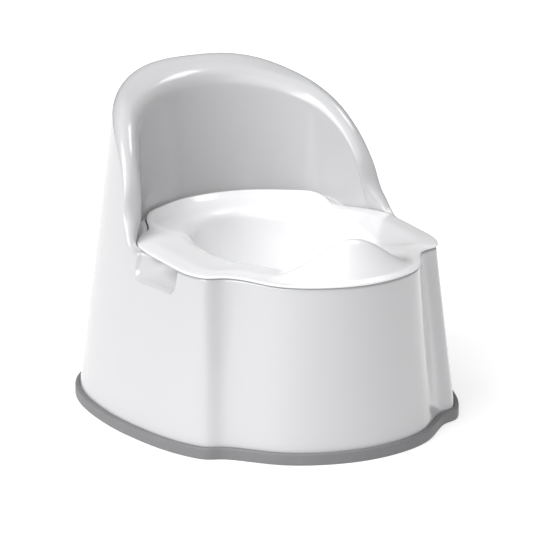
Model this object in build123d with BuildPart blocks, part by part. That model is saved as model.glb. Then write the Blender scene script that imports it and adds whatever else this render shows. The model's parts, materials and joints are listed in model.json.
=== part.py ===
from build123d import *
import os
from math import cos, hypot, pi, radians, sin

os.makedirs("parts", exist_ok=True)

# Potty chair. Millimetres, +Z up, the child faces -Y.
# Origin: on the floor, in the middle of the base.

# shell: one moulding, open below
WALL = 2.6
SHELL_FOOT_Z = 3.0
DECK_Z = 158.7
DRAFT_TOP_Z = 310.0
FOOT_DRUM_R = 126.5
FOOT_DRUM_Y = -53.0
FOOT_DRUM_END = 54.0
DECK_DRUM_R = 96.5
DECK_DRUM_Y = -79.0
DECK_DRUM_END = 71.0
FOOT_FLANK = [(113.3, -119.5), (124.8, -114.3), (132.8, -103.8), (155.0, -37.1)]
DECK_FLANK = [(101.4, -100.6), (113.9, -96.0), (118.6, -89.5), (125.8, -47.9)]
BACK_HALF_WIDTH = 161.3
BACK_HALF_WIDTH_PER_Z = -0.1637
BACK_CENTRE_Y = 21.0
BACK_CENTRE_Y_PER_Z = 0.0277
BACK_REAR_Y = 179.5
BACK_SQUARENESS = 2.7
BACK_ANGLES = [0.0, 15.0, 35.0, 55.0, 75.0]
RIM_PROFILE = [
    (21.0, DECK_Z),
    (41.5, 187.0),
    (50.0, 212.0),
    (70.0, 238.0),
    (104.5, 264.0),
    (151.5, 284.0),
    (192.0, 304.0),
]

# seat space in front of the leaning inner back wall, with a ledge behind the bowl
INNER_FOOT_R = 115.0
INNER_FOOT_Y = 12.0
INNER_TOP_R = 107.0
INNER_TOP_Y = 43.0
LEDGE_Z = 168.0

# the bowl is lifted by its ears, up and a little forward, so that they leave the rim
LIFT_LEAN = 30.0
LIFT_CLEAR = 60.0

# finger recesses under the bowl's ears
RECESS_FRONT_Y = -57.0
RECESS_REAR_Y = 13.0
RECESS_FLOOR_Z = 139.0
RECESS_INNER_X = 110.0
RECESS_ROUND = 7.0

# bowl: one moulding
FLANGE_Z = 159.0
FLANGE_T = 3.0
SEAT_Z = FLANGE_Z + FLANGE_T
FLANGE_DRUM_R = 98.0
FLANGE_DRUM_END = 72.0
EAR_SIDE = [
    (102.0, -102.0),
    (114.5, -97.3),
    (120.0, -90.5),
    (127.3, -48.0),
    (128.0, 3.0),
    (124.2, 29.0),
    (113.5, 47.5),
    (103.0, 59.0),
    (96.0, 65.0),
]
LIP_R = 110.0
LIP_Y = 11.0
LIP_ANGLES = [55.5, 38.0, 19.0, 0.0]
LIP_TOP_Z = 172.0
LIP_START_Y = 45.0
BOWL_WALL = 2.5
BOWL_GAP = 1.2
POT_Y = -8.0
POT_HALF_X = 70.0
POT_HALF_Y = 104.0
POT_FLOOR_HALF_X = 52.0
POT_FLOOR_HALF_Y = 78.0
POT_FLOOR_Z = 48.0
POT_ROUND = 15.0
HOLE_HALF_X = 76.0
HOLE_REAR = 110.0
HOLE_FRONT = 146.0
GUARD_HALF_X = 84.0
GUARD_HEIGHT = 38.0
GUARD_STEPS = 8
GUARD_CREST_Y = -154.0
GUARD_PROFILE = [(-176.0, 0.0), (-160.0, 0.93), (-152.0, 0.98), (-108.0, 0.0)]
GUARD_SET_BACK = 1.5

# non-slip ring under and round the foot
RING_HEIGHT = 11.0
RING_PROUD = 3.5
RING_GAP = 0.2
RING_INSIDE = 12.0

BEYOND = 400.0


def blend(low, high, share):
    """Point or number that lies the given share of the way from low to high."""
    if isinstance(low, tuple):
        return tuple(blend(a, b, share) for a, b in zip(low, high))
    return low + (high - low) * share


def inset_points(points, inset):
    """Points moved inwards by the inset, square to the line through their neighbours."""
    moved = []
    for index, (x, y) in enumerate(points):
        before = points[max(index - 1, 0)]
        after = points[index + 1] if index + 1 < len(points) else (-before[0], before[1])
        run_x = after[0] - before[0]
        run_y = after[1] - before[1]
        length = hypot(run_x, run_y)
        moved.append((x - inset * run_y / length, y + inset * run_x / length))
    return moved


def closed_outline(drum_r, drum_y, drum_end, points):
    """Sketch of the front drum's arc and one smooth curve round both sides and the rear."""
    end = radians(drum_end)
    corner = (drum_r * sin(end), drum_y - drum_r * cos(end))
    right = [corner] + points
    left = [(-x, y) for x, y in right[-2::-1]]
    with BuildSketch() as outline:
        with BuildLine():
            ThreePointArc(left[-1], (0.0, drum_y - drum_r), corner)
            Spline(*right, *left)
        make_face()
    return outline.sketch


def shell_outline(z, inset=0.0):
    """Shell's outline at a level, or the same outline moved inwards.

    Below the deck the drum and the flanks are ruled from foot to deck. The sides and the
    rear are part of a superellipse that narrows evenly with height.
    """
    share = min(z / DECK_Z, 1.0)
    points = [blend(low, high, share) for low, high in zip(FOOT_FLANK, DECK_FLANK)]
    half_width = BACK_HALF_WIDTH + BACK_HALF_WIDTH_PER_Z * z
    centre_y = BACK_CENTRE_Y + BACK_CENTRE_Y_PER_Z * z
    power = 2.0 / BACK_SQUARENESS
    for angle in BACK_ANGLES:
        across = half_width * cos(radians(angle)) ** power
        along = centre_y + (BACK_REAR_Y - centre_y) * sin(radians(angle)) ** power
        points.append((across, along))
    points.append((0.0, BACK_REAR_Y))
    drum_r = blend(FOOT_DRUM_R, DECK_DRUM_R, share) - inset
    drum_y = blend(FOOT_DRUM_Y, DECK_DRUM_Y, share)
    drum_end = blend(FOOT_DRUM_END, DECK_DRUM_END, share)
    return closed_outline(drum_r, drum_y, drum_end, inset_points(points, inset))


def flange_outline(grow=0.0):
    """Outline of the bowl's flange: front drum, ears, notches and the rear lip."""
    end = radians(FLANGE_DRUM_END)
    corner = (FLANGE_DRUM_R * sin(end), DECK_DRUM_Y - FLANGE_DRUM_R * cos(end))
    lip = []
    for angle in LIP_ANGLES:
        lip.append((LIP_R * sin(radians(angle)), LIP_Y + LIP_R * cos(radians(angle))))
    side = inset_points([corner] + EAR_SIDE + lip, -grow)[1:]
    return closed_outline(FLANGE_DRUM_R + grow, DECK_DRUM_Y, FLANGE_DRUM_END, side)


def above_rim(shift):
    """Side view of what lies above the deck and the rim, for cutting across the chair."""
    rim = [(y + shift, z - shift) for y, z in RIM_PROFILE]
    with BuildSketch(Plane.YZ) as region:
        with BuildLine():
            Spline(*rim)
            Polyline(rim[-1], (rim[-1][0], BEYOND), (-BEYOND, BEYOND), (-BEYOND, rim[0][1]), rim[0])
        make_face()
    return region.sketch


def seat_space(grow):
    """Space the child sits in: a cone leaning back, the well that the flange rests in, and
    the room that the ears need on their way up and forward."""
    with BuildPart() as space:
        with BuildSketch(Plane.XY.offset(LEDGE_Z - grow)):
            with Locations((0.0, INNER_FOOT_Y)):
                Circle(INNER_FOOT_R + grow)
        with BuildSketch(Plane.XY.offset(DRAFT_TOP_Z)):
            with Locations((0.0, INNER_TOP_Y)):
                Circle(INNER_TOP_R + grow)
        loft()
        with BuildSketch(Plane.XY.offset(DECK_Z - grow)):
            add(flange_outline(BOWL_GAP + grow))
        extrude(amount=LEDGE_Z - DECK_Z + grow)
        with BuildSketch(Plane.XY.offset(SEAT_Z)):
            add(flange_outline(BOWL_GAP + grow))
        extrude(amount=LIFT_CLEAR, dir=(0.0, -sin(radians(LIFT_LEAN)), cos(radians(LIFT_LEAN))))
    return space.part


def finger_recess(grow):
    """Pocket cut into the flank under one ear of the bowl, rounded below."""
    length = RECESS_REAR_Y - RECESS_FRONT_Y + 2.0 * grow
    height = DECK_Z - RECESS_FLOOR_Z + grow
    with BuildPart() as recess:
        with BuildSketch(Plane.YZ.offset(RECESS_INNER_X - grow)):
            with Locations((RECESS_FRONT_Y - grow, RECESS_FLOOR_Z - grow)):
                RectangleRounded(length, 2.0 * height, RECESS_ROUND + grow, align=Align.MIN)
        extrude(amount=BEYOND)
    return recess.part


def pot_body(inset):
    """Tapered elliptical pot with a rounded floor."""
    with BuildPart() as body:
        with BuildSketch(Plane.XY.offset(POT_FLOOR_Z + inset)):
            with Locations((0.0, POT_Y)):
                Ellipse(POT_FLOOR_HALF_X - inset, POT_FLOOR_HALF_Y - inset)
        with BuildSketch(Plane.XY.offset(SEAT_Z)):
            with Locations((0.0, POT_Y)):
                Ellipse(POT_HALF_X - inset, POT_HALF_Y - inset)
        loft()
        fillet(body.edges().sort_by(Axis.Z)[0], POT_ROUND - inset)
    return body.part


def guard_hump(inset):
    """Splash guard: a hump whose height falls away as a squared cosine to each side, over the
    front of the flange. With an inset it is the hollow on its underside."""
    half_x = GUARD_HALF_X - inset
    base_z = FLANGE_Z - inset
    hump = []
    for step in range(GUARD_STEPS + 1):
        share = 2.0 * step / GUARD_STEPS - 1.0
        hump.append((half_x * share, SEAT_Z - inset + GUARD_HEIGHT * cos(pi / 2.0 * share) ** 2))
    side = []
    for y, share in GUARD_PROFILE:
        along = y + inset if y < GUARD_CREST_Y else y - inset
        side.append((along, SEAT_Z - inset + share * GUARD_HEIGHT))
    with BuildPart() as body:
        with BuildSketch(Plane.XZ):
            with BuildLine():
                Spline(*hump)
                Polyline(hump[-1], (half_x, base_z), (-half_x, base_z), hump[0])
            make_face()
        extrude(amount=BEYOND)
        with BuildSketch(Plane.YZ):
            with BuildLine():
                Spline(*side)
                Polyline(side[-1], (side[-1][0], base_z), (side[0][0], base_z), side[0])
            make_face()
        extrude(amount=BEYOND, both=True, mode=Mode.INTERSECT)
        with BuildSketch(Plane.XY):
            add(flange_outline(-GUARD_SET_BACK - inset))
        extrude(amount=BEYOND, mode=Mode.INTERSECT)
    return body.part


# shell: drafted outside, cut open in front of the rim, hollow from below, with a hole in the
# deck that reaches forward because the pot moves forward as it is lifted
with BuildPart() as shell:
    for level in (SHELL_FOOT_Z, DECK_Z, DRAFT_TOP_Z):
        with BuildSketch(Plane.XY.offset(level)):
            add(shell_outline(level))
    loft(ruled=True)
    extrude(above_rim(0.0), amount=BEYOND, both=True, mode=Mode.SUBTRACT)
    add(seat_space(0.0), mode=Mode.SUBTRACT)
    pocket = finger_recess(0.0)
    add(pocket, mode=Mode.SUBTRACT)
    add(pocket.mirror(Plane.YZ), mode=Mode.SUBTRACT)

with BuildPart() as shell_core:
    for level in (0.0, DECK_Z, DRAFT_TOP_Z):
        with BuildSketch(Plane.XY.offset(level)):
            add(shell_outline(level, WALL))
    loft(ruled=True)
    extrude(above_rim(WALL), amount=BEYOND, both=True, mode=Mode.SUBTRACT)
    add(seat_space(WALL), mode=Mode.SUBTRACT)
    pocket = finger_recess(WALL)
    add(pocket, mode=Mode.SUBTRACT)
    add(pocket.mirror(Plane.YZ), mode=Mode.SUBTRACT)

with BuildPart() as outer_shell:
    add(shell.part)
    add(shell_core.part, mode=Mode.SUBTRACT)
    with BuildSketch(Plane.XY.offset(DECK_Z - 2.0 * WALL)):
        with Locations((0.0, POT_Y)):
            Ellipse(HOLE_HALF_X, HOLE_FRONT)
            Rectangle(BEYOND, BEYOND, align=(Align.CENTER, Align.MAX), mode=Mode.INTERSECT)
            Ellipse(HOLE_HALF_X, HOLE_REAR)
    extrude(amount=3.0 * WALL, mode=Mode.SUBTRACT)
outer_shell.part.label = "outer_shell"
export_step(outer_shell.part, "parts/outer_shell.step")

# bowl: flange, raised rear lip, splash guard and pot in one
with BuildPart() as inner_bowl:
    with BuildSketch(Plane.XY.offset(FLANGE_Z)):
        add(flange_outline())
        add(flange_outline(-BOWL_WALL), mode=Mode.SUBTRACT)
    extrude(amount=LIP_TOP_Z - FLANGE_Z)
    with BuildSketch(Plane.YZ):
        Polygon(
            (-BEYOND, 0.0),
            (-BEYOND, SEAT_Z),
            (LIP_START_Y, SEAT_Z),
            (LIP_Y + LIP_R, LIP_TOP_Z),
            (BEYOND, LIP_TOP_Z),
            (BEYOND, 0.0),
            align=None,
        )
    extrude(amount=BEYOND, both=True, mode=Mode.INTERSECT)
    with BuildSketch(Plane.XY.offset(FLANGE_Z)):
        add(flange_outline())
    extrude(amount=FLANGE_T)
    add(guard_hump(0.0))
    add(guard_hump(BOWL_WALL), mode=Mode.SUBTRACT)
    add(pot_body(0.0))
    add(pot_body(BOWL_WALL), mode=Mode.SUBTRACT)
inner_bowl.part.label = "inner_bowl"
export_step(inner_bowl.part, "parts/inner_bowl.step")

# ring: L-shaped band that the shell's foot stands in
with BuildPart() as base_ring:
    with BuildSketch():
        add(shell_outline(SHELL_FOOT_Z, -RING_PROUD))
    extrude(amount=RING_HEIGHT)
    for level in (SHELL_FOOT_Z, RING_HEIGHT):
        with BuildSketch(Plane.XY.offset(level)):
            add(shell_outline(level, -RING_GAP))
    loft(ruled=True, mode=Mode.SUBTRACT)
    with BuildSketch():
        add(shell_outline(SHELL_FOOT_Z, RING_INSIDE))
    extrude(amount=RING_HEIGHT, mode=Mode.SUBTRACT)
base_ring.part.label = "base_ring"
export_step(base_ring.part, "parts/base_ring.step")
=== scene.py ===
import json
import math

import bmesh
import bpy
import numpy as np
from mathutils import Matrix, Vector


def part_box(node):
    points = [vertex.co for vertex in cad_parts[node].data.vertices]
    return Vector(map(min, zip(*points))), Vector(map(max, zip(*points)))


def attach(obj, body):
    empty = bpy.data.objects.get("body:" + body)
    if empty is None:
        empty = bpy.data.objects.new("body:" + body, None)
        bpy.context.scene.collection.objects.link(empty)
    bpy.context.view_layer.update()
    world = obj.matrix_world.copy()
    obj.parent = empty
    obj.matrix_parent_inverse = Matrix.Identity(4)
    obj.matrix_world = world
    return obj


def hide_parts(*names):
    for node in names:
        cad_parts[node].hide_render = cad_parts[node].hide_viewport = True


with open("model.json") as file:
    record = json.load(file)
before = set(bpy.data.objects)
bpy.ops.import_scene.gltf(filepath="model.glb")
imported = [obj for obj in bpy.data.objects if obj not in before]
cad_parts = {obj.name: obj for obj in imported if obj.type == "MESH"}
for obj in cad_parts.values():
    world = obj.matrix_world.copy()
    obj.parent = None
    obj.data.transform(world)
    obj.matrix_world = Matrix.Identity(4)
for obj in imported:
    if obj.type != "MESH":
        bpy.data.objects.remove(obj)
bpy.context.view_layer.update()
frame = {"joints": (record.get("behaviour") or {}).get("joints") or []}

# Outer shell. One injection moulding in light grey polypropylene: a drafted skirt whose
# front is a drum, a deck that carries the bowl, and a hollow backrest with a rolled rim.
# It is open below, and a finger recess is scooped into each flank under the bowl's ears.
shell_low, shell_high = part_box("outer_shell")
bowl_low, bowl_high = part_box("inner_bowl")
ring_low, ring_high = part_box("base_ring")

SHELL_WALL = 0.0026
FOOT_Z = shell_low[2]
DECK_Z = 0.1587
LEDGE_Z = 0.168
DRAFT_TOP_Z = 0.310
REAR_Y = shell_high[1]
# a drum is its radius, its centre's y and its end angle in degrees
FOOT_DRUM = (0.1265, -0.0530, 54.0)
DECK_DRUM = (0.0965, -0.0790, 71.0)
DRUM_SHARES = (0.0, 1.0 / 3.0, 2.0 / 3.0, 1.0)
FOOT_FLANK = [(0.1133, -0.1195), (0.1248, -0.1143), (0.1328, -0.1038), (0.1550, -0.0371)]
DECK_FLANK = [(0.1014, -0.1006), (0.1139, -0.0960), (0.1186, -0.0895), (0.1258, -0.0479)]
BACK_HALF_WIDTH = 0.1613
BACK_NARROWING = 0.1637
BACK_CENTRE_Y = 0.021
BACK_CENTRE_LEAN = 0.0277
BACK_SQUARENESS = 2.7
BACK_ANGLES = (0.0, 15.0, 35.0, 55.0, 75.0, 90.0)
# the rim's line as y and z, from the deck up to the top of the back
RIM_SIDE_VIEW = [
    (0.0080, DECK_Z), (0.0170, 0.1593), (0.0240, 0.1632), (0.0330, 0.1745), (0.0415, 0.1870),
    (0.0500, 0.2120), (0.0700, 0.2380), (0.1045, 0.2640), (0.1515, 0.2840), (0.1920, 0.3040),
]
SEAT_CENTRE_Y = 0.012
SEAT_RADIUS = 0.115
SEAT_CENTRE_LEAN = 0.2183
SEAT_NARROWING = 0.0563
DECK_SHARE_INSIDE = 0.855
SHELF_SHARE = DECK_SHARE_INSIDE - 0.05
HOLE_CENTRE_Y = -0.008
HOLE_HALF_X = 0.076
HOLE_REAR = 0.110
HOLE_FRONT = 0.146
SHELL_SPANS = (12, 12, 12, 8, 10, 10, 54, 76, 36, 24, 20, 16, 14)
# bearings in degrees behind the seat's middle over which each change comes in
EAR_CLEARANCE_FROM = (-4.0, 6.0)
SHELF_WIDENS_FROM = (-6.0, 4.0)
LEDGE_RISES_FROM = (22.0, 38.0)


def smooth_loop(points, knots, stations):
    """Closed curve through the points, one at each knot: a cubic spline whose slope and
    curvature agree all the way round. Gives its position at each station."""
    gap = np.diff(knots)
    count = len(gap)
    row = np.arange(count)
    slope = (np.roll(points, -1, 0) - points) / gap[:, None]
    system = np.diag(2.0 * (gap + np.roll(gap, 1)))
    system[row, (row + 1) % count] += gap
    system[row, row - 1] += np.roll(gap, 1)
    bend = np.linalg.solve(system, 6.0 * (slope - np.roll(slope, 1, 0)))
    start = np.clip(np.searchsorted(knots, stations, side="right") - 1, 0, count - 1)
    end = (start + 1) % count
    back = ((knots[start + 1] - stations) / gap[start])[:, None]
    ahead = 1.0 - back
    curve = (back**3 - back) * bend[start] + (ahead**3 - ahead) * bend[end]
    return back * points[start] + ahead * points[end] + curve * gap[start, None] ** 2 / 6.0


def smooth_path(points, steps):
    """Open curve through the points: cubic spans whose slope at a point is that of the line
    through its neighbours."""
    points = np.array(points)
    slope = np.gradient(points, axis=0)
    span = np.repeat(np.arange(len(points) - 1), steps)
    t = np.tile(np.arange(steps) / steps, len(points) - 1)[:, None]
    curve = (2 * t**3 - 3 * t**2 + 1) * points[span] + (t**3 - 2 * t**2 + t) * slope[span]
    curve += (3 * t**2 - 2 * t**3) * points[span + 1] + (t**3 - t**2) * slope[span + 1]
    return np.vstack([curve, points[-1:]])


def ease(value, low, high):
    """Rises smoothly from 0 at low to 1 at high: 3 t squared less 2 t cubed."""
    t = np.clip((value - low) / (high - low), 0.0, 1.0)
    return t * t * (3.0 - 2.0 * t)


def both_sides(half):
    """Right half of a loop, from the front middle to the rear middle, with its mirror image."""
    half = np.array(half)
    return np.vstack([half, half[-2:0:-1] * (-1.0, 1.0)])


def loop_knots(points):
    """Distance along the closed polygon at each point, and once round."""
    return np.r_[0.0, np.cumsum(np.linalg.norm(np.roll(points, -1, 0) - points, axis=1))]


def loop_stations(knots, spans):
    """Stations between the knots, as many in each span as asked, the same on both sides."""
    spans = list(spans) + list(spans)[::-1]
    return np.concatenate([
        np.linspace(start, stop, count, endpoint=False)
        for start, stop, count in zip(knots[:-1], knots[1:], spans)
    ])


def outward(loop):
    """Unit vector square to a closed loop that runs anticlockwise, in the plan."""
    run = np.roll(loop, -1, 0) - np.roll(loop, 1, 0)
    run /= np.linalg.norm(run, axis=1)[:, None]
    return np.stack([run[:, 1], -run[:, 0]], 1)


def drum(radius, centre_y, end):
    """Points on the front drum's arc, from the middle to its end angle."""
    angle = np.radians(end) * np.array(DRUM_SHARES)
    return np.stack([radius * np.sin(angle), centre_y - radius * np.cos(angle)], 1)


def back_points(z):
    """Points on the back's superellipse at a level, from the side to the rear middle."""
    angle = np.radians(np.array(BACK_ANGLES))
    centre_y = BACK_CENTRE_Y + BACK_CENTRE_LEAN * z
    power = 2.0 / BACK_SQUARENESS
    across = (BACK_HALF_WIDTH - BACK_NARROWING * z) * np.abs(np.cos(angle)) ** power
    across[-1] = 0.0
    return np.stack([across, centre_y + (REAR_Y - centre_y) * np.sin(angle) ** power], 1)


foot_points = both_sides(np.vstack([drum(*FOOT_DRUM), FOOT_FLANK, back_points(0.0)]))
deck_points = both_sides(np.vstack([drum(*DECK_DRUM), DECK_FLANK, back_points(DECK_Z)]))
top_points = both_sides(np.vstack([drum(*DECK_DRUM), DECK_FLANK, back_points(DRAFT_TOP_Z)]))
shell_knots = loop_knots((foot_points + deck_points) / 2.0)
shell_stations = loop_stations(shell_knots, SHELL_SPANS)
foot_loop = smooth_loop(foot_points, shell_knots, shell_stations)
deck_loop = smooth_loop(deck_points, shell_knots, shell_stations)
top_loop = smooth_loop(top_points, shell_knots, shell_stations)


def wall(z, inset=0.0):
    """Plan of the outer wall at a level for every station, ruled from the foot to the deck
    and from the deck to the top, moved inwards by the inset."""
    z = np.broadcast_to(z, len(foot_loop))[:, None]
    low = foot_loop + (deck_loop - foot_loop) * np.clip(z / DECK_Z, 0.0, 1.0)
    high = (top_loop - deck_loop) * np.clip((z - DECK_Z) / (DRAFT_TOP_Z - DECK_Z), 0.0, 1.0)
    plan = low + high
    return plan - inset * outward(plan)


def at(plan, z):
    """Plan positions lifted to a level."""
    return np.column_stack([plan, np.broadcast_to(z, len(plan))])


def rounded_section(corners, setbacks, arc_steps, run_steps, run_bias=None):
    """Closed section at every station: straight runs between corners, each corner a circular
    arc that starts and ends its setback away from it. Returns stations by section points."""
    count = len(corners)
    arcs = []
    for index, (corner, setback, steps) in enumerate(zip(corners, setbacks, arc_steps)):
        t = np.linspace(0.0, 1.0, steps + 1)[None, :, None]
        back = corners[index - 1] - corner
        ahead = corners[(index + 1) % count] - corner
        back_length = np.linalg.norm(back, axis=1)[:, None]
        ahead_length = np.linalg.norm(ahead, axis=1)[:, None]
        setback = np.broadcast_to(setback, len(corner))[:, None]
        setback = np.minimum(setback, 0.48 * np.minimum(back_length, ahead_length))
        back = back / back_length
        ahead = ahead / ahead_length
        opening_angle = np.sum(back * ahead, 1)[:, None, None]
        weight = np.sqrt(np.clip((1.0 - opening_angle) / 2.0, 1e-6, 1.0))
        start = (corner + setback * back)[:, None]
        end = (corner + setback * ahead)[:, None]
        share = 2.0 * weight * t * (1.0 - t)
        arc = (1.0 - t) ** 2 * start + share * corner[:, None] + t**2 * end
        arcs.append(arc / ((1.0 - t) ** 2 + share + t**2))
    pieces = []
    for index in range(count):
        steps = run_steps[index]
        t = np.arange(1, steps)[None, :, None] / steps
        if run_bias and run_bias[index]:
            t = 1.0 - (1.0 - t) ** run_bias[index]
        start = arcs[index][:, -1:]
        end = arcs[(index + 1) % count][:, :1]
        pieces += [arcs[index], start + (end - start) * t]
    return np.concatenate(pieces, axis=1)


def grid_piece(name, grid, wrap_rows=True):
    """Mesh of a grid of points, closed round its stations and, if asked, round its section.
    The winding is turned if the enclosed volume comes out negative."""
    stations, rows = grid.shape[:2]
    index = np.arange(stations * rows).reshape(stations, rows)
    across = index if wrap_rows else index[:, :-1]
    after = np.roll(index, -1, 1) if wrap_rows else index[:, 1:]
    quads = np.stack([across, np.roll(across, -1, 0), np.roll(after, -1, 0), after], 2)
    quads = quads.reshape(-1, 4)
    points = grid.reshape(-1, 3)
    a, b, c, d = (points[quads[:, k]] for k in range(4))
    volume = np.sum(a * np.cross(b, c)) + np.sum(a * np.cross(c, d))
    if volume < 0.0:
        quads = quads[:, ::-1]
    mesh = bpy.data.meshes.new(name)
    mesh.vertices.add(len(points))
    mesh.vertices.foreach_set("co", points.ravel())
    mesh.loops.add(quads.size)
    mesh.loops.foreach_set("vertex_index", quads.ravel())
    mesh.polygons.add(len(quads))
    mesh.polygons.foreach_set("loop_start", np.arange(0, quads.size, 4))
    mesh.polygons.foreach_set("use_smooth", np.ones(len(quads), dtype=bool))
    mesh.update(calc_edges=True)
    joined = bmesh.new()
    joined.from_mesh(mesh)
    bmesh.ops.remove_doubles(joined, verts=joined.verts, dist=1e-7)
    joined.to_mesh(mesh)
    joined.free()
    piece = bpy.data.objects.new(name, mesh)
    bpy.context.scene.collection.objects.link(piece)
    return piece


# flange outline, needed here because the deck and the rim's feet are cut round it
FLANGE_DRUM = (0.098, -0.079, 72.0)
FLANGE_SIDE = [
    (0.1020, -0.1020), (0.1145, -0.0973), (0.1200, -0.0905), (0.1273, -0.0480), (0.1280, 0.0030),
    (0.1242, 0.0290), (0.1135, 0.0475), (0.1030, 0.0590), (0.0960, 0.0650),
]
LIP_RADIUS = 0.113
LIP_CENTRE_Y = 0.011
LIP_ANGLES = (55.5, 38.0, 19.0, 0.0)
FLANGE_SPANS = (14, 14, 14, 6, 8, 8, 14, 18, 12, 10, 10, 10, 10, 14, 16, 16)
FLANGE_GAP = 0.0012
SEAT_Z = 0.1618
LIFT_AXIS = frame["joints"][0]["axis"]
FORWARD_PER_LIFT = -LIFT_AXIS[1] / LIFT_AXIS[2]
EAR_EASE = 0.0030

lip_angle = np.radians(np.array(LIP_ANGLES))
lip = np.stack([LIP_RADIUS * np.sin(lip_angle), LIP_CENTRE_Y + LIP_RADIUS * np.cos(lip_angle)], 1)
flange_points = both_sides(np.vstack([drum(*FLANGE_DRUM), FLANGE_SIDE, lip]))
flange_knots = loop_knots(flange_points)
flange_loop = smooth_loop(flange_points, flange_knots, loop_stations(flange_knots, FLANGE_SPANS))

from_seat = deck_loop - (0.0, SEAT_CENTRE_Y)
bearing = np.arctan2(from_seat[:, 1], from_seat[:, 0])
direction = np.stack([np.cos(bearing), np.sin(bearing)], 1)
behind = np.degrees(np.arcsin(np.sin(bearing)))
in_back = behind > 0.0
flange_from_seat = flange_loop - (0.0, SEAT_CENTRE_Y)
flange_bearing = np.arctan2(flange_from_seat[:, 1], flange_from_seat[:, 0])
flange_reach = np.linalg.norm(flange_from_seat, axis=1)
order = np.argsort(flange_bearing)


def flange_radius(forward):
    """Reach of the flange's outline from the seat's centre along every station's bearing,
    once the bowl has moved forward by the given distance."""
    turned = bearing + forward * direction[:, 0] / SEAT_RADIUS
    reach = np.interp(turned, flange_bearing[order], flange_reach[order], period=2.0 * math.pi)
    return reach - forward * direction[:, 1]


def seat_plan(z, outset=0.0):
    """Plan of the seat space's wall: a circle that drifts back and narrows as it rises,
    eased out where the bowl's ears pass on their way up, and a scaled deck outline in front."""
    z = np.broadcast_to(z, len(bearing))
    rise = np.maximum(z - LEDGE_Z, 0.0)
    radius = SEAT_RADIUS - SEAT_NARROWING * rise
    drift = SEAT_CENTRE_LEAN * rise
    ears = flange_radius(FORWARD_PER_LIFT * np.maximum(z - SEAT_Z, 0.0)) + FLANGE_GAP
    short = ears - radius - drift * direction[:, 1]
    eased = (short + np.sqrt(short**2 + EAR_EASE**2)) / 2.0
    radius = radius + eased * ease(behind, *EAR_CLEARANCE_FROM)
    back = direction * (radius + outset)[:, None] + np.stack([0.0 * z, SEAT_CENTRE_Y + drift], 1)
    front = (0.0, SEAT_CENTRE_Y) + from_seat * DECK_SHARE_INSIDE + direction * outset
    return np.where(in_back[:, None], back, front)


RIM_STEPS = 16
RIM_SETTLING_ROUNDS = 12
RIM_BLEND_RISE = 0.030
LEAST_GAP = 0.0002
rim_curve = smooth_path(RIM_SIDE_VIEW, RIM_STEPS)


def rim_level(y):
    """Height of the deck in front and of the sloping rim behind, from its side view."""
    return np.interp(y, rim_curve[:, 0], rim_curve[:, 1])


# the rim's height sets how far the wall leans in, which sets its height again
outer_top = np.full(len(deck_loop), DECK_Z)
inner_top = np.full(len(deck_loop), DECK_Z)
for repeat in range(RIM_SETTLING_ROUNDS):
    outer_top = 0.5 * outer_top + 0.5 * rim_level(wall(outer_top)[:, 1])
    inner_top = 0.5 * inner_top + 0.5 * rim_level(seat_plan(inner_top)[:, 1])
inner_top = np.where(in_back, inner_top, DECK_Z)
ledge = DECK_Z + (LEDGE_Z - DECK_Z) * ease(behind, *LEDGE_RISES_FROM)
inner_top = np.maximum(inner_top, ledge + LEAST_GAP)

hole_half_y = np.where(deck_loop[:, 1] > HOLE_CENTRE_Y, HOLE_REAR, HOLE_FRONT)
hole_size = np.stack([np.full(len(deck_loop), HOLE_HALF_X), hole_half_y], 1)
from_hole = (deck_loop - (0.0, HOLE_CENTRE_Y)) / hole_size
hole = (deck_loop - (0.0, HOLE_CENTRE_Y)) / np.linalg.norm(from_hole, axis=1)[:, None]
hole += (0.0, HOLE_CENTRE_Y)
well = direction * (flange_radius(0.0) + FLANGE_GAP)[:, None] + (0.0, SEAT_CENTRE_Y)
under_flange = (0.0, SEAT_CENTRE_Y) + from_seat * SHELF_SHARE
shelf = under_flange + (well - under_flange) * ease(behind, *SHELF_WIDENS_FROM)[:, None]

rim_out = at(wall(outer_top), outer_top)
rim_in = at(seat_plan(inner_top), inner_top)
across_rim = rim_in - rim_out
rim_width = np.linalg.norm(across_rim, axis=1)
across_rim /= rim_width[:, None]
rise = ease(outer_top, DECK_Z, DECK_Z + RIM_BLEND_RISE)
drop = (0.0, 0.0, SHELL_WALL * 1.2)

# the section's corners: up the outside, over the rim, down to the ledge, across the deck to
# the hole, and back under the deck and down the inside of the wall
shell_corners = [
    at(wall(FOOT_Z), FOOT_Z),
    rim_out,
    rim_in,
    at(seat_plan(ledge, -LEAST_GAP), ledge),
    at(shelf, ledge),
    at(shelf + (hole - shelf) * 0.02, DECK_Z),
    at(hole, DECK_Z),
    at(hole, DECK_Z - SHELL_WALL),
    at(seat_plan(ledge, SHELL_WALL), DECK_Z - SHELL_WALL),
    rim_in - across_rim * SHELL_WALL - drop,
    rim_out + across_rim * SHELL_WALL - drop,
    at(wall(FOOT_Z, SHELL_WALL), FOOT_Z),
]
# how far each corner's rounding reaches from it, in the same order
shell_setbacks = [
    0.0008,
    0.0022 + 0.0098 * rise,
    0.0010 + 0.0120 * rise,
    0.0060,
    0.0006,
    0.0004,
    0.0006,
    0.0004,
    0.0010,
    0.0010 + 0.0080 * rise,
    0.0010 + 0.0080 * rise,
    0.0008,
]
shell_arc_steps = (2, 9, 9, 6, 2, 1, 2, 1, 2, 4, 4, 2)
shell_run_steps = (56, 4, 16, 3, 1, 4, 1, 4, 8, 3, 20, 1)
shell_run_bias = (1.8, 0, 0, 0, 0, 0, 0, 0, 0, 0, 0.6, 0)
shell_grid = rounded_section(
    shell_corners, shell_setbacks, shell_arc_steps, shell_run_steps, shell_run_bias
)

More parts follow.
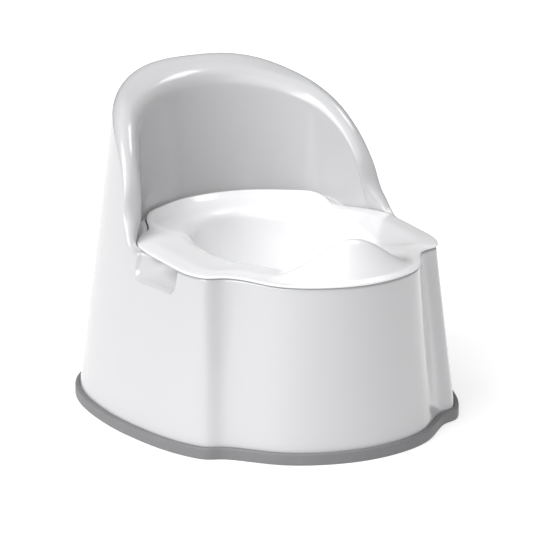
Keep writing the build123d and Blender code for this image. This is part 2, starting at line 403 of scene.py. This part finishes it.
RECESS_FRONT_Y = -0.058
RECESS_REAR_Y = 0.008
RECESS_FLOOR_Z = 0.1375
RECESS_CORNER = 0.008
RECESS_DEPTH = 0.021
RECESS_EDGE = 0.0022
RECESS_REAR_RUN = 0.050
RECESS_REAR_SHARE = 0.18
RECESS_FLOOR_SHARE = 0.15
RECESS_INNER_X = 0.104
RECESS_FADE_X = 0.016
RECESS_TOP_Z = DECK_Z + 0.004


def scoop(points):
    """Moves the flanks inwards over a rounded rectangle below the deck. The depth grows with
    the square root of the height over the floor and evenly from the rear to the front, and
    fades over a narrow edge."""
    x, y, z = points[..., 0], points[..., 1], points[..., 2]
    middle_y = (RECESS_FRONT_Y + RECESS_REAR_Y) / 2.0
    half_y = (RECESS_REAR_Y - RECESS_FRONT_Y) / 2.0 - RECESS_CORNER
    past_y = np.maximum(np.abs(y - middle_y) - half_y, 0.0)
    past_z = np.maximum(RECESS_FLOOR_Z + RECESS_CORNER - z, 0.0)
    inside = RECESS_CORNER - np.hypot(past_y, past_z)
    height = np.clip((z - RECESS_FLOOR_Z) / (DECK_Z - RECESS_FLOOR_Z), 0.0, 1.0)
    forward = np.clip((RECESS_REAR_Y - y) / RECESS_REAR_RUN, 0.0, 1.0)
    depth = RECESS_DEPTH * (RECESS_FLOOR_SHARE + (1.0 - RECESS_FLOOR_SHARE) * height**0.5)
    depth = depth * (RECESS_REAR_SHARE + (1.0 - RECESS_REAR_SHARE) * forward)
    reach = np.clip((np.abs(x) - RECESS_INNER_X) / RECESS_FADE_X, 0.0, 1.0)
    shift = depth * ease(inside, 0.0, RECESS_EDGE) * reach * (z < RECESS_TOP_Z)
    moved = points.copy()
    moved[..., 0] -= np.sign(x) * shift
    return moved


shell = grid_piece("shell_moulding", scoop(shell_grid))
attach(shell, "chair")
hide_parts("outer_shell")


class Wire:
    """A shader socket that takes part in arithmetic: each operator adds a Math node."""

    def __init__(self, tree, socket):
        self.tree = tree
        self.socket = socket

    def node(self, kind, settings=None, **inputs):
        """Adds a node, sets its settings first and then its sockets, and returns it."""
        made = self.tree.nodes.new(kind)
        for key, value in (settings or {}).items():
            setattr(made, key, value)
        for key, value in inputs.items():
            numbered = key[0] == "n" and key[1:].isdigit()
            port = made.inputs[int(key[1:]) if numbered else key.replace("_", " ")]
            if isinstance(value, Wire):
                self.tree.links.new(value.socket, port)
            else:
                port.default_value = value
        return made

    def maths(self, operation, a, b):
        """One Math node on two values or sockets."""
        made = self.node("ShaderNodeMath", {"operation": operation}, n0=a, n1=b)
        return Wire(self.tree, made.outputs[0])

    def __add__(self, other):
        return self.maths("ADD", self, other)

    __radd__ = __add__

    def __sub__(self, other):
        return self.maths("SUBTRACT", self, other)

    def __rsub__(self, other):
        return self.maths("SUBTRACT", other, self)

    def __mul__(self, other):
        return self.maths("MULTIPLY", self, other)

    __rmul__ = __mul__


def new_material(name, slots_of, **constants):
    """Principled material with its constant sockets set. Returns its starting wire, the
    shader node and the object's own coordinates."""
    material = bpy.data.materials.new(name)
    material.use_nodes = True
    tree = material.node_tree
    shader = tree.nodes["Principled BSDF"]
    for key, value in constants.items():
        shader.inputs[key.replace("_", " ")].default_value = value
    wire = Wire(tree, None)
    place = Wire(tree, wire.node("ShaderNodeTexCoord").outputs["Object"])
    for piece in slots_of:
        piece.data.materials.clear()
        piece.data.materials.append(material)
    return wire, shader, place


def noise(wire, place, scale, detail=2.0, roughness=0.5):
    """Noise texture's value at a scale given in cells per metre."""
    made = wire.node("ShaderNodeTexNoise", n0=place, Scale=scale, Detail=detail, Roughness=roughness)
    return Wire(wire.tree, made.outputs["Fac"])


def between(wire, share, low, high):
    """Colour that runs from low to high as the share goes from 0 to 1."""
    made = wire.node("ShaderNodeMix", {"data_type": "RGBA"}, n0=share, n6=low, n7=high)
    return made.outputs[2]


def moulded_plastic(name, pieces, colour, shade, rough):
    """Gloss polypropylene: faint flow marks in the colour, fine handling wear in the gloss,
    and a slight orange peel in the surface."""
    wire, shader, place = new_material(
        name, pieces, IOR=1.49, Coat_Weight=0.55, Coat_IOR=1.5, Coat_Roughness=0.05
    )
    flow = noise(wire, place, scale=9.0, detail=3.0)
    wire.tree.links.new(between(wire, flow, shade, colour), shader.inputs["Base Color"])
    wear = noise(wire, place, scale=320.0, detail=4.0, roughness=0.7)
    wire.tree.links.new((wear * 0.05 + rough).socket, shader.inputs["Roughness"])
    peel = noise(wire, place, scale=260.0)
    bump = wire.node("ShaderNodeBump", Strength=0.06, Distance=0.00005, Height=peel)
    wire.tree.links.new(bump.outputs[0], shader.inputs["Normal"])


SHELL_COLOUR = (0.525, 0.525, 0.534, 1.0)
SHELL_SHADE = (0.510, 0.510, 0.520, 1.0)
moulded_plastic("shell_polypropylene", [shell], SHELL_COLOUR, SHELL_SHADE, 0.17)

# Inner bowl. One injection moulding in white polypropylene that drops into the deck: a wide
# seat with an ear at each side, a lip up against the backrest, a splash guard at the front
# and the pot below. It isn't fastened, so it lifts out by its ears, up and a little forward.
BOWL_WALL = 0.0026
LIP_TOP_Z = 0.1717
CREST_Z = bowl_high[2] + 0.0006
POT_FLOOR_Z = bowl_low[2] + BOWL_WALL + 0.0006
OPENING_CENTRE_Y = -0.008
OPENING_HALF = (0.067, 0.103)
OPENING_EGG = 0.15
POT_FLOOR_HALF = (0.049, 0.074)
GUARD_HALF_X = 0.084
GUARD_FROM_FRONT = (0.085, 0.125)
LIP_FROM_REAR = (0.056, 0.092)
FOOT_STEP = 0.0045
FOOT_STEP_AT_LIP = 0.0025
CREST_STEP = 0.016
CREST_STEP_CHANGE = 0.006
CREST_RISE = 0.0010
LIP_CREST_RISE = 0.0030
OPENING_DROP = 0.0020
OPENING_SOFT_SHARE = 0.40
SOFTENING = 24

flange_count = len(flange_loop)
edge_out = outward(flange_loop)
edge = flange_loop - edge_out * (BOWL_WALL / 2.0)
from_opening = (edge - (0.0, OPENING_CENTRE_Y)) / OPENING_HALF
edge_bearing = np.arctan2(from_opening[:, 1], from_opening[:, 0])
along = np.sin(edge_bearing)
opening = np.stack([
    OPENING_HALF[0] * np.cos(edge_bearing) * (1.0 + OPENING_EGG * along),
    OPENING_CENTRE_Y + OPENING_HALF[1] * along,
], 1)
pot_floor = np.stack([
    POT_FLOOR_HALF[0] * np.cos(edge_bearing),
    OPENING_CENTRE_Y + POT_FLOOR_HALF[1] * along,
], 1)
seat_width = np.linalg.norm(opening - edge, axis=1)
to_opening = (opening - edge) / seat_width[:, None]

at_lip = ease(edge[:, 1], *LIP_FROM_REAR)
guard_share = np.clip(edge[:, 0] / GUARD_HALF_X, -1.0, 1.0)
at_guard = np.cos(guard_share * math.pi / 2.0) ** 2 * ease(-edge[:, 1], *GUARD_FROM_FRONT)
edge_z = SEAT_Z + (LIP_TOP_Z - SEAT_Z) * at_lip
foot_step = FOOT_STEP + (FOOT_STEP_AT_LIP - FOOT_STEP) * at_lip
crest_step = CREST_STEP + CREST_STEP_CHANGE * (at_guard - at_lip)
seat_crest_z = SEAT_Z + CREST_RISE
crest_z = seat_crest_z + (CREST_Z - seat_crest_z) * at_guard + LIP_CREST_RISE * at_lip
slope_run = np.maximum(seat_width - crest_step, 0.0)
mixing = np.hanning(2 * SOFTENING + 1) / np.sum(np.hanning(2 * SOFTENING + 1))
wrapped = np.r_[slope_run[-SOFTENING:], slope_run, slope_run[:SOFTENING]]
opening_soft = OPENING_SOFT_SHARE * np.convolve(wrapped, mixing, "valid")


def toward_opening(distance, z):
    """Points a distance in from the flange's edge, towards the opening, at a level."""
    return at(edge + to_opening * np.broadcast_to(distance, flange_count)[:, None], z)


bowl_corners = [
    toward_opening(0.0, edge_z),
    toward_opening(foot_step, edge_z + 0.0004),
    toward_opening(crest_step, crest_z),
    at(opening, SEAT_Z - OPENING_DROP),
    at(pot_floor, POT_FLOOR_Z + 0.0010),
    at(np.zeros((flange_count, 2)) + (0.0, OPENING_CENTRE_Y), POT_FLOOR_Z),
]
bowl_setbacks = [0.0, 0.0030, 0.0045 + 0.0055 * at_guard, opening_soft, 0.022, 0.0]
bowl_arc_steps = (0, 8, 10, 16, 12, 0)
upper = rounded_section(bowl_corners, bowl_setbacks, bowl_arc_steps, (2, 8, 12, 18, 10, 1))
normal = np.cross(np.gradient(upper, axis=1), np.roll(upper, -1, 0) - np.roll(upper, 1, 0))
length = np.linalg.norm(normal, axis=2, keepdims=True)
normal = np.where(length > 1e-12, normal / np.maximum(length, 1e-12), (0.0, 0.0, 1.0))
normal *= np.sign(np.median(normal[:, 3, 2]))
lower = upper - normal * BOWL_WALL
lower[:, -1] = upper[:, -1] - (0.0, 0.0, BOWL_WALL)
turn = np.linspace(0.0, math.pi, 9)[1:-1][None, :, None]
centre = (upper[:, :1] + lower[:, :1]) / 2.0
reach = at(edge_out, 0.0)[:, None] * BOWL_WALL / 2.0
nose = centre + np.cos(turn) * (upper[:, :1] - centre) + np.sin(turn) * reach
bowl_grid = np.concatenate([upper[:, ::-1], nose, lower], axis=1)
bowl = grid_piece("bowl_moulding", bowl_grid, wrap_rows=False)
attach(bowl, "bowl")
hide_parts("inner_bowl")
BOWL_COLOUR = (0.80, 0.80, 0.81, 1.0)
BOWL_SHADE = (0.785, 0.785, 0.797, 1.0)
moulded_plastic("bowl_polypropylene", [bowl], BOWL_COLOUR, BOWL_SHADE, 0.22)

# Base ring. A soft elastomer band with an L section, pushed over the shell's foot so that
# the chair doesn't slide: a proud bead outside and a lip that the foot stands on.
RING_PROUD = 0.0035
RING_TOP_Z = ring_high[2]
RING_LIP_INSIDE = 0.012
RING_FIT = 0.0002
ring_corners = [
    at(wall(FOOT_Z, -RING_PROUD), ring_low[2]),
    at(wall(FOOT_Z, -RING_PROUD), RING_TOP_Z),
    at(wall(RING_TOP_Z, -RING_FIT), RING_TOP_Z),
    at(wall(FOOT_Z, -RING_FIT), FOOT_Z),
    at(wall(FOOT_Z, RING_LIP_INSIDE), FOOT_Z),
    at(wall(FOOT_Z, RING_LIP_INSIDE), ring_low[2]),
]
ring_setbacks = (0.0014, 0.0026, 0.0006, 0.0002, 0.0008, 0.0008)
ring_grid = rounded_section(ring_corners, ring_setbacks, (5, 7, 3, 2, 2, 3), (5, 2, 3, 4, 1, 5))
ring = grid_piece("ring_band", ring_grid)
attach(ring, "chair")
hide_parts("base_ring")
wire, shader, place = new_material("ring_elastomer", [ring], IOR=1.5, Specular_IOR_Level=0.4)
RING_COLOUR = (0.165, 0.165, 0.17, 1.0)
RING_DUST = (0.20, 0.20, 0.205, 1.0)
dust = noise(wire, place, scale=40.0, detail=4.0, roughness=0.6)
wire.tree.links.new(between(wire, dust, RING_COLOUR, RING_DUST), shader.inputs["Base Color"])
wire.tree.links.new((dust * 0.15 + 0.45).socket, shader.inputs["Roughness"])
grain = noise(wire, place, scale=1400.0, detail=3.0, roughness=0.6)
bump = wire.node("ShaderNodeBump", Strength=0.35, Distance=0.0002, Height=grain)
wire.tree.links.new(bump.outputs[0], shader.inputs["Normal"])

# Studio. A pale floor that glows a little, and a dim surround with a large soft box on the
# child's right, a weaker one in front, one overhead and a small strip on the left. Long lens.
STUDIO_HALF = 2.2
floor_signs = [(-1.0, -1.0), (1.0, -1.0), (1.0, 1.0), (-1.0, 1.0)]
floor_corners = [(STUDIO_HALF * east, STUDIO_HALF * north, 0.0) for east, north in floor_signs]
floor_mesh = bpy.data.meshes.new("studio_floor")
floor_mesh.from_pydata(floor_corners, [], [(0, 1, 2, 3)])
floor = bpy.data.objects.new("studio_floor", floor_mesh)
bpy.context.scene.collection.objects.link(floor)
new_material(
    "floor_paint", [floor], Base_Color=(0.50, 0.50, 0.505, 1.0), Roughness=0.6,
    Emission_Color=(1.0, 1.0, 1.0, 1.0), Emission_Strength=0.58,
)

SURROUND = 0.10
# azimuth and elevation, half width and half height, soft edge (all in degrees), strength
SOFT_BOXES = (
    (-80.0, 45.0, 32.0, 25.0, 8.0, 4.4),
    (-25.0, 40.0, 36.0, 20.0, 16.0, 1.5),
    (0.0, 90.0, 180.0, 36.0, 10.0, 0.85),
    (80.0, 57.0, 16.0, 6.0, 3.0, 6.0),
)
world = bpy.data.worlds.new("studio_surround")
bpy.context.scene.world = world
world.use_nodes = True
tree = world.node_tree
surround = tree.nodes["Background"]
surround.inputs["Color"].default_value = (1.0, 1.0, 1.0, 1.0)
sky = Wire(tree, None)
bearing_of = Wire(tree, sky.node("ShaderNodeTexCoord").outputs["Generated"])
parts = sky.node("ShaderNodeSeparateXYZ", n0=bearing_of)
east, north, up = (Wire(tree, parts.outputs[k]) for k in range(3))
azimuth = east.maths("ARCTAN2", east, north * -1.0) * math.degrees(1.0)
elevation = up.maths("ARCSINE", up, 0.0) * math.degrees(1.0)


def window(value, middle, half, soft):
    """1 within half of the middle and 0 beyond, with a soft step between."""
    distance = (value - middle).maths("ABSOLUTE", value - middle, 0.0)
    step = sky.node(
        "ShaderNodeMapRange", {"interpolation_type": "SMOOTHSTEP"},
        n0=distance, n1=half + soft / 2.0, n2=half - soft / 2.0, n3=0.0, n4=1.0,
    )
    return Wire(tree, step.outputs[0])


glow = SURROUND
for box_azimuth, box_elevation, half_width, half_height, soft, strength in SOFT_BOXES:
    across = window(azimuth, box_azimuth, half_width, soft)
    glow = across * window(elevation, box_elevation, half_height, soft) * strength + glow
tree.links.new(glow.socket, surround.inputs["Strength"])
BACKDROP = 1.03
backdrop = sky.node("ShaderNodeBackground", Strength=BACKDROP, Color=(1.0, 1.0, 1.0, 1.0))
direct = sky.node("ShaderNodeLightPath").outputs["Is Camera Ray"]
surround_seen = sky.node("ShaderNodeMixShader", n0=Wire(tree, direct))
tree.links.new(surround.outputs[0], surround_seen.inputs[1])
tree.links.new(backdrop.outputs[0], surround_seen.inputs[2])
tree.links.new(surround_seen.outputs[0], tree.nodes["World Output"].inputs["Surface"])

CAMERA_AZIMUTH = -26.298
CAMERA_ELEVATION = 17.845
CAMERA_DISTANCE = 3.7213
CAMERA_LENS = 270.17
CAMERA_SENSOR = 36.0
CAMERA_STANDS_OFF = (0.0, 0.0431, 0.0)
CAMERA_TARGET = (0.0267, 0.0694, 0.1099)
camera_data = bpy.data.cameras.new("camera")
camera_data.lens = CAMERA_LENS
camera_data.sensor_width = CAMERA_SENSOR
camera = bpy.data.objects.new("camera", camera_data)
bpy.context.scene.collection.objects.link(camera)
turn, tilt = math.radians(CAMERA_AZIMUTH), math.radians(CAMERA_ELEVATION)
back = Vector((math.sin(turn) * math.cos(tilt), -math.cos(turn) * math.cos(tilt), math.sin(tilt)))
camera.location = Vector(CAMERA_STANDS_OFF) + back * CAMERA_DISTANCE
camera.rotation_mode = "QUATERNION"
sight = Vector(CAMERA_TARGET) - camera.location
camera.rotation_quaternion = sight.to_track_quat("-Z", "Y")
bpy.context.scene.camera = camera
bpy.context.scene.view_settings.view_transform = "Standard"
